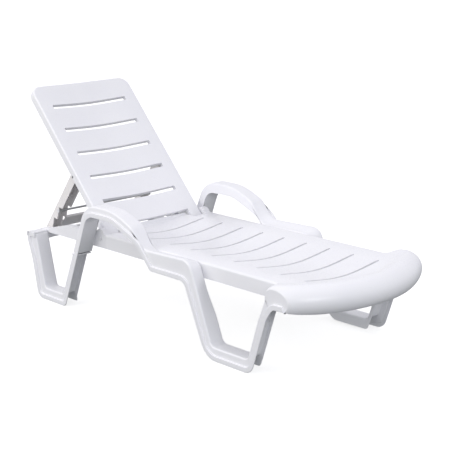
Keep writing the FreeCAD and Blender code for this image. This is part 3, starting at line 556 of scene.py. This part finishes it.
def seat_moulding():
    panel = Panel()
    slot_half, slot_wide, corner = SEAT_SLOT_HALF, SEAT_SLOT_WIDE, SLOT_CORNER
    edge_round = 9.0
    ends = [slot_half - corner, slot_half - 1.6, slot_half - 0.6, slot_half]
    columns = symmetric([0, 20, 40, 60, 80, 100, 120, 140, 160, 176] + ends
                        + [197, 206, 220, 234, 248, 259, 268])
    columns = [-(RAIL_HALF - edge_round)] + columns + [RAIL_HALF - edge_round]
    slots = [SEAT_SLOT_START + i * SLOT_PITCH for i in range(SEAT_SLOTS)]
    rows = [("line", SEAT_REAR_X + edge_round, 0)]
    for n, centre in enumerate(slots):
        if n:
            gap = centre - slots[n - 1] - 2 * slot_wide
            for share in (0.12, 0.37, 0.63, 0.88):
                rows.append(("line", slots[n - 1] + slot_wide + gap * share, 0))
        else:
            rows.append(("line", centre - slot_wide - 14, 0))
        rows.append(("slot", centre, -1))
        rows.append(("slot", centre, 1))
    for share in (0.25, 0.5, 0.75):
        rows.append(("root", share, 0))
    rows.append(("root", 1.0, 0))
    root_centre = slots[-1] + slot_wide

    def root_x(y):
        return NOSE_CENTRE_X + math.sqrt(NOSE_ROOT ** 2 - y ** 2)

    def bend(x, y):
        """Lines near the foot end swing back beyond the slots, to follow the bowed nose."""
        out = max(0.0, abs(y) - slot_half - 2) / (RAIL_HALF - slot_half)
        return x - 66.0 * out ** 1.3 * between(x, 560.0, 880.0)

    def row_x(kind, value, side, y):
        if kind == "line":
            return bend(value, y)
        if kind == "slot":
            half = slot_half_width(y, slot_half, slot_wide, corner)
            return bend(value + side * slot_wide, y) + side * (half - slot_wide)
        start = bend(root_centre, y)
        return start + (root_x(y) - start) * value

    grid = []
    for kind, value, side in rows:
        line = []
        near_root = value if kind == "root" else 0.0
        for y in columns:
            if abs(y) > 270:
                y = math.copysign(RAIL_HALF - edge_round + (edge_round - 0.4) * near_root, y)
            x = row_x(kind, value, side, y)
            line.append(panel.point(place(x, y, seat_height(x, y))))
        grid.append(line)
    for i in range(len(rows) - 1):
        is_slot = rows[i][0] == "slot" and rows[i][2] == -1
        for j in range(len(columns) - 1):
            if is_slot and -slot_half <= columns[j] and columns[j + 1] <= slot_half:
                continue
            panel.faces.append((grid[i][j], grid[i][j + 1], grid[i + 1][j + 1], grid[i + 1][j]))
    # Walls of each slot.
    for i in range(len(rows) - 1):
        if rows[i][0] != "slot" or rows[i][2] != -1:
            continue
        inside = [j for j in range(len(columns)) if abs(columns[j]) <= slot_half]
        loop = [grid[i][j] for j in inside] + [grid[i + 1][j] for j in reversed(inside)]
        low = [panel.point(panel.verts[v] - Vector((0, 0, SEAT_SLOT_DEPTH))) for v in loop]
        panel.strip(loop, low, closed=True)
    # Skirt down both sides and across the head end.
    left = [line[0] for line in reversed(grid)]
    right = [line[-1] for line in grid]
    chain = left + grid[0][1:-1] + right
    last = len(rows) - 1
    rim = []
    for k, v in enumerate(chain):
        if k < len(left) - 1:
            row, out = last - k, Vector((0, -1, 0))
        elif k >= len(chain) - len(right) + 1:
            row, out = k - (len(chain) - len(right)), Vector((0, 1, 0))
        elif k == len(left) - 1:
            row, out = 0, Vector((-1, -1, 0))
        elif k == len(chain) - len(right):
            row, out = 0, Vector((-1, 1, 0))
        else:
            row, out = 0, Vector((-1, 0, 0))
        fade = rows[row][1] if rows[row][0] == "root" else 0.0
        rim.append((v, out, edge_round - (edge_round - 0.4) * fade))
    rings = [chain]
    for angle in (22.5, 45, 67.5, 90):
        turn = math.radians(angle)
        ring = []
        for v, out, radius in rim:
            r = radius / 1000
            ring.append(panel.point(panel.verts[v] + out * (r * math.sin(turn))
                                    - Vector((0, 0, r * (1 - math.cos(turn))))))
        rings.append(ring)
    foot = []
    for v, out, radius in rim:
        top = panel.verts[v] + out * (radius / 1000)
        foot.append(panel.point(Vector((top.x, top.y, RAIL_BOTTOM / 1000))))
    rings.append(foot)
    tail_line = [v for v in grid[0] if abs(panel.verts[v].y) < (SEAT_TAIL_HALF + 0.1) / 1000]
    for a, b in zip(rings, rings[1:]):
        for k in range(len(chain) - 1):
            if chain[k] not in tail_line or chain[k + 1] not in tail_line:
                panel.faces.append((a[k], a[k + 1], b[k + 1], b[k]))
    seat_tail(panel, tail_line)
    nose_rows(panel, columns)
    piece = new_object("seat_moulding", panel.verts, panel.faces, "frame", WHITE)
    add_skin(piece)
    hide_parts("seat_deck")
    return piece


def seat_tail(panel, tail_line):
    """Part of the seat that reaches back between the hinges, and ends in an upright wall."""
    ys = [panel.verts[v].y * 1000 for v in tail_line]
    start = (panel.verts[tail_line[0]].x - DATUM) * 1000
    corner = 9.0
    wall_face = SEAT_TAIL_X + WALL
    end = wall_face + corner
    lines = [tail_line]
    for share in (0.33, 0.66, 1.0):
        x = start + (end - start) * share
        lines.append([panel.point(place(x, y, seat_height(x, y))) for y in ys])
    # Concave corner up into the wall, then the wall's rounded top and its back.
    for angle in (22.5, 45.0, 67.5, 90.0):
        turn = math.radians(angle)
        line = []
        for y in ys:
            floor_z = seat_height(0.0, y)
            lift = max(0.0, min(corner, SEAT_RIM - 1.6 - floor_z))
            z = floor_z + lift * (1 - math.cos(turn))
            line.append(panel.point(place(end - corner * math.sin(turn), y, z)))
        lines.append(line)
    for x, z in ((wall_face, -1.5), (wall_face - 0.4, -0.5), (wall_face - 1.3, 0.0), (SEAT_TAIL_X + 1.3, 0.0),
                 (SEAT_TAIL_X + 0.4, -0.5), (SEAT_TAIL_X, -1.5), (SEAT_TAIL_X, TAIL_FOOT - SEAT_RIM)):
        lines.append([panel.point(place(x, y, SEAT_RIM + z)) for y in ys])
    for a, b in zip(lines, lines[1:]):
        panel.strip(a, b)
    for side in (0, -1):
        top = [line[side] for line in lines]
        low = [panel.point(Vector((panel.verts[v].x, panel.verts[v].y, TAIL_FOOT / 1000))) for v in top]
        panel.strip(top, low)


def nose_rows(panel, columns):
    """Rolled foot end, from the seat's last line over the crest and down to its lower lip."""
    rounding = [NOSE_END_Y + (HALF_WIDTH - NOSE_END_Y) * math.sin(math.radians(a))
                for a in (15, 30, 45, 57, 68, 78, 85, 90)]
    outer = [288.0, 294.0, 301.0, NOSE_END_Y] + rounding
    inner_y = [-(RAIL_HALF - 0.4)] + [c for c in columns if abs(c) <= 270] + [RAIL_HALF - 0.4]
    ys = [-y for y in reversed(outer)] + inner_y + outer
    lines = []
    for kind, value in NOSE_PROFILE:
        line = []
        for y in ys:
            x, z, _ = nose_point(kind, value, y)
            line.append(panel.point(place(x, y, z)))
        lines.append(line)
    for a, b in zip(lines, lines[1:]):
        panel.strip(a, b)
    # Short wall at the head side of each end, down inside the front leg's channel.
    total = len(ys)
    span = len(outer) + 1
    for part in (range(0, span), range(total - span, total)):
        top = [lines[0][k] for k in part]
        low = [panel.point(panel.verts[v] + Vector((0.0005, 0, -0.036))) for v in top]
        panel.strip(top, low)


# ---- backrest ------------------------------------------------------------------------
BACK_TOP = 326.0
BACK_LOW_X = -190.0
BACK_HIGH_X = -954.6
BACK_HALF = 254.5
BACK_DEPTH = 35.0
BACK_CORNER = 45.0
BACK_SAG = 12.0
BACK_SLOT_START = -354.4
BACK_SLOT_PITCH = 121.8
BACK_SLOTS = 5
BACK_SLOT_HALF = 193.5
BACK_SLOT_WIDE = 9.5
BACK_NOTCH_X = -242.0
BACK_NOTCH_HALF = 197.0


def raise_back(point):
    """Turns a point of the flat backrest up about the hinge, to its rest position."""
    return Matrix.Rotation(BACK_ANGLE, 4, "Y") @ (point - HINGE) + HINGE


def backrest_moulding():
    panel = Panel()
    slot_half, slot_wide, corner = BACK_SLOT_HALF, BACK_SLOT_WIDE, SLOT_CORNER
    edge_round = 7.0
    ends = [slot_half - corner, slot_half - 1.6, slot_half - 0.6, slot_half]
    columns = symmetric([0, 20, 40, 60, 80, 100, 120, 140, 160, 176] + ends
                        + [197, 206, 216, 226, 236, BACK_HALF - edge_round])
    slots = [BACK_SLOT_START - i * BACK_SLOT_PITCH for i in range(BACK_SLOTS)]
    rows = [("line", BACK_LOW_X - edge_round, 0), ("line", BACK_LOW_X - 28, 0), ("line", BACK_NOTCH_X, 0)]
    notch_row = 2
    for share in (0.25, 0.5, 0.75):
        rows.append(("line", BACK_NOTCH_X + (slots[0] + slot_wide - BACK_NOTCH_X) * share, 0))
    for n, centre in enumerate(slots):
        if n:
            gap = centre + slot_wide - (slots[n - 1] - slot_wide)
            for share in (0.12, 0.37, 0.63, 0.88):
                rows.append(("line", slots[n - 1] - slot_wide + gap * share, 0))
        rows.append(("slot", centre, 1))
        rows.append(("slot", centre, -1))
    corner_start = BACK_HIGH_X + BACK_CORNER
    for share in (0.25, 0.6, 1.0):
        start = slots[-1] - slot_wide
        rows.append(("line", start + (corner_start - start) * share, 0))
    inner_corner = BACK_CORNER - edge_round
    for angle in (15, 30, 45, 60, 75, 90):
        rows.append(("line", corner_start - inner_corner * math.sin(math.radians(angle)), 0))

    def half_width_at(x):
        into = corner_start - x
        if into <= 0:
            return BACK_HALF - edge_round
        return BACK_HALF - BACK_CORNER + math.sqrt(max(inner_corner ** 2 - into ** 2, 0.0))

    def height(x, y):
        across = max(0.0, 1 - (y / 235.0) ** 2)
        along = between(x, BACK_HIGH_X, BACK_HIGH_X + 110)
        return BACK_TOP - BACK_SAG * across ** 2 * (0.25 + 0.75 * along)

    grid = []
    for kind, value, side in rows:
        line = []
        for y in columns:
            x = value
            if kind == "slot":
                x += side * slot_half_width(y, slot_half, slot_wide, corner)
            limit = half_width_at(x)
            if abs(y) > 190:
                share = (abs(y) - 190) / (BACK_HALF - edge_round - 190)
                y = math.copysign(190 + (limit - 190) * share, y)
            line.append(panel.point(place(x, y, height(x, y))))
        grid.append(line)
    for i in range(len(rows) - 1):
        is_slot = rows[i][0] == "slot" and rows[i][2] == 1
        for j in range(len(columns) - 1):
            if is_slot and -slot_half <= columns[j] and columns[j + 1] <= slot_half:
                continue
            if i < notch_row and -BACK_NOTCH_HALF <= columns[j] and columns[j + 1] <= BACK_NOTCH_HALF:
                continue
            panel.faces.append((grid[i][j], grid[i][j + 1], grid[i + 1][j + 1], grid[i + 1][j]))
        if is_slot:
            inside = [j for j in range(len(columns)) if abs(columns[j]) <= slot_half]
            loop = [grid[i][j] for j in inside] + [grid[i + 1][j] for j in reversed(inside)]
            low = [panel.point(panel.verts[v] - Vector((0, 0, BACK_SLOT_DEPTH))) for v in loop]
            panel.strip(loop, low, closed=True)
    loop = [line[0] for line in grid] + grid[-1][1:-1] + [line[-1] for line in reversed(grid)]
    loop += list(reversed(grid[0][1:-1]))
    outs = []
    low_x = (BACK_LOW_X - edge_round) / 1000 + DATUM
    centre_x = corner_start / 1000 + DATUM
    centre_y = (BACK_HALF - BACK_CORNER) / 1000
    for v in loop:
        p = panel.verts[v]
        if p.x < centre_x + 1e-6:
            if abs(p.y) > centre_y + 1e-6:
                out = Vector((p.x - centre_x, p.y - math.copysign(centre_y, p.y), 0)).normalized()
            else:
                out = Vector((-1, 0, 0))
        elif p.x > low_x - 1e-6:
            out = Vector((1, 0, 0))
            if abs(p.y) > (BACK_HALF - edge_round) / 1000 - 1e-6:
                out = Vector((1, math.copysign(1, p.y), 0))
        else:
            out = Vector((0, math.copysign(1, p.y), 0))
        outs.append(out)
    rings = [loop]
    r = edge_round / 1000
    for angle in (18, 36, 54, 72, 90):
        turn = math.radians(angle)
        drop = Vector((0, 0, r * (1 - math.cos(turn))))
        rings.append([panel.point(panel.verts[v] + out * (r * math.sin(turn)) - drop)
                      for v, out in zip(loop, outs)])
    low_z = (BACK_TOP - BACK_DEPTH) / 1000
    edge_points = [panel.verts[v] + out * r for v, out in zip(loop, outs)]
    rings.append([panel.point(Vector((p.x, p.y, low_z))) for p in edge_points])
    open_part = [grid[0][j] for j in range(len(columns)) if abs(columns[j]) <= BACK_NOTCH_HALF]
    for a, b in zip(rings, rings[1:]):
        for k in range(len(loop)):
            n = (k + 1) % len(loop)
            if loop[k] not in open_part or loop[n] not in open_part:
                panel.faces.append((a[k], a[n], b[n], b[k]))
    # Walls of the notch that the seat's tail stands in, and the inner faces of the two ears.
    first = min(j for j in range(len(columns)) if columns[j] >= -BACK_NOTCH_HALF)
    last = max(j for j in range(len(columns)) if columns[j] <= BACK_NOTCH_HALF)
    edge = [grid[i][first] for i in range(notch_row)] + grid[notch_row][first:last + 1]
    edge += [grid[i][last] for i in reversed(range(notch_row))]
    low = [panel.point(panel.verts[v] - Vector((0, 0, BACK_SLOT_DEPTH))) for v in edge]
    panel.strip(edge, low)
    for corner_vert, low_vert in ((edge[0], low[0]), (edge[-1], low[-1])):
        k = loop.index(corner_vert)
        panel.faces.append(tuple([corner_vert] + [ring[k] for ring in rings[1:]] + [low_vert]))
    verts = [raise_back(v) for v in panel.verts]
    piece = new_object("backrest_moulding", verts, panel.faces, "backrest", WHITE)
    add_skin(piece)
    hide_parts("backrest_panel")
    return piece


# ---- carried-over CAD pieces ---------------------------------------------------------
def finish_cad(node, material, bevel):
    piece = frame["nodes"][node]
    piece.data.materials.clear()
    piece.data.materials.append(material)
    for face in piece.data.polygons:
        face.use_smooth = True
    weld = piece.modifiers.new("weld", "WELD")
    weld.merge_threshold = 0.00002
    if bevel:
        add_bevel(piece, bevel)


seat_moulding()
backrest_moulding()
side_frame(-1, "side_frame_right_moulding", "side_frame_right")
side_frame(1, "side_frame_left_moulding", "side_frame_left")

for node in ("rear_rail_left", "rear_rail_right", "rear_crossbar"):
    finish_cad(node, WHITE, 0.0012)
# The prop's pieces take the warm-tinted resin, which paints in the shade they stand in under the backrest.
for node in ("prop_leg_left", "prop_leg_right", "prop_cross_panel"):
    finish_cad(node, PROP_SHADE_TINTED_WHITE, 0.0008)
for node in ("hinge_pin_left", "hinge_pin_right", "tie_rod_cap_left", "tie_rod_cap_right"):
    finish_cad(node, PIN_WHITE, 0.0006)
for node in ("prop_pin_left", "prop_pin_right", "prop_tie_rod", "side_frame_screws", "rail_screws",
             "crossbar_bolts"):
    finish_cad(node, STEEL, 0.0003)


# ---- stage, light and camera ---------------------------------------------------------
def floor():
    mesh = bpy.data.meshes.new("floor")
    size = 30.0
    corners = [(-size, -size, 0), (size, -size, 0), (size, size, 0), (-size, size, 0)]
    mesh.from_pydata(corners, [], [(0, 1, 2, 3)])
    ground = bpy.data.objects.new("floor", mesh)
    ground.location.z = -0.0006
    bpy.context.scene.collection.objects.link(ground)
    material = bpy.data.materials.new("pale_floor")
    material.use_nodes = True
    shader = material.node_tree.nodes["Principled BSDF"]
    shader.inputs["Base Color"].default_value = (0.55, 0.55, 0.55, 1)
    shader.inputs["Roughness"].default_value = 0.9
    shader.inputs["Specular IOR Level"].default_value = 0.0
    shader.inputs["Emission Color"].default_value = (1.0, 1.0, 1.0, 1)
    shader.inputs["Emission Strength"].default_value = 0.72
    mesh.materials.append(material)
    ground.visible_diffuse = False
    ground.visible_glossy = False


def area_light(name, place_at, aim, size, power, colour):
    light = bpy.data.lights.new(name, "AREA")
    light.shape = "RECTANGLE"
    light.size, light.size_y = size
    light.energy = power
    light.color = colour
    lamp = bpy.data.objects.new(name, light)
    lamp.location = place_at
    lamp.rotation_euler = (Vector(aim) - Vector(place_at)).to_track_quat("-Z", "Y").to_euler()
    bpy.context.scene.collection.objects.link(lamp)


def studio():
    """Even light from above that falls off below the horizon, as over a grey sweep."""
    world = bpy.data.worlds.new("studio")
    bpy.context.scene.world = world
    world.use_nodes = True
    nodes = world.node_tree.nodes
    links = world.node_tree.links
    where = nodes.new("ShaderNodeTexCoord")
    axes = nodes.new("ShaderNodeSeparateXYZ")
    links.new(where.outputs["Generated"], axes.inputs["Vector"])
    ramp = nodes.new("ShaderNodeValToRGB")
    share = nodes.new("ShaderNodeMapRange")
    share.inputs["From Min"].default_value = -1.0
    share.inputs["From Max"].default_value = 1.0
    links.new(axes.outputs["Z"], share.inputs["Value"])
    links.new(share.outputs["Result"], ramp.inputs["Fac"])
    stops = ramp.color_ramp.elements
    stops[0].position = 0.0
    stops[0].color = (0.02, 0.024, 0.026, 1)
    stops[1].position = 1.0
    stops[1].color = (0.86, 0.855, 0.90, 1)
    low = stops.new(0.42)
    low.color = (0.34, 0.355, 0.36, 1)
    high = stops.new(0.56)
    high.color = (0.82, 0.82, 0.86, 1)
    links.new(ramp.outputs["Color"], nodes["Background"].inputs["Color"])
    nodes["Background"].inputs["Strength"].default_value = 1.06
    area_light("key", (-1.3, -3.4, 1.9), (0.0, 0.0, 0.35), (2.4, 1.4), 50.0, (1.0, 0.985, 0.95))
    area_light("fill", (3.8, -1.2, 1.5), (0.5, 0.0, 0.25), (1.4, 0.6), 22.0, (0.95, 0.98, 1.0))
    bpy.context.scene.view_settings.view_transform = "Standard"
    bpy.context.scene.view_settings.look = "None"


def camera():
    yaw, pitch, roll = math.radians(47.617), math.radians(13.915), math.radians(-0.908)
    forward = Vector((-math.sin(yaw) * math.cos(pitch), math.cos(yaw) * math.cos(pitch),
                      -math.sin(pitch)))
    right = forward.cross(Vector((0, 0, 1))).normalized()
    up = right.cross(forward)
    tilted_right = right * math.cos(roll) + up * math.sin(roll)
    tilted_up = up * math.cos(roll) - right * math.sin(roll)
    data = bpy.data.cameras.new("camera")
    data.sensor_width = 36.0
    data.lens = 93.09
    eye = bpy.data.objects.new("camera", data)
    axes = Matrix((tilted_right, tilted_up, -forward)).transposed().to_4x4()
    eye.matrix_world = Matrix.Translation(place(3592.0, -3035.0, 1489.0)) @ axes
    bpy.context.scene.collection.objects.link(eye)
    bpy.context.scene.camera = eye


floor()
studio()
camera()
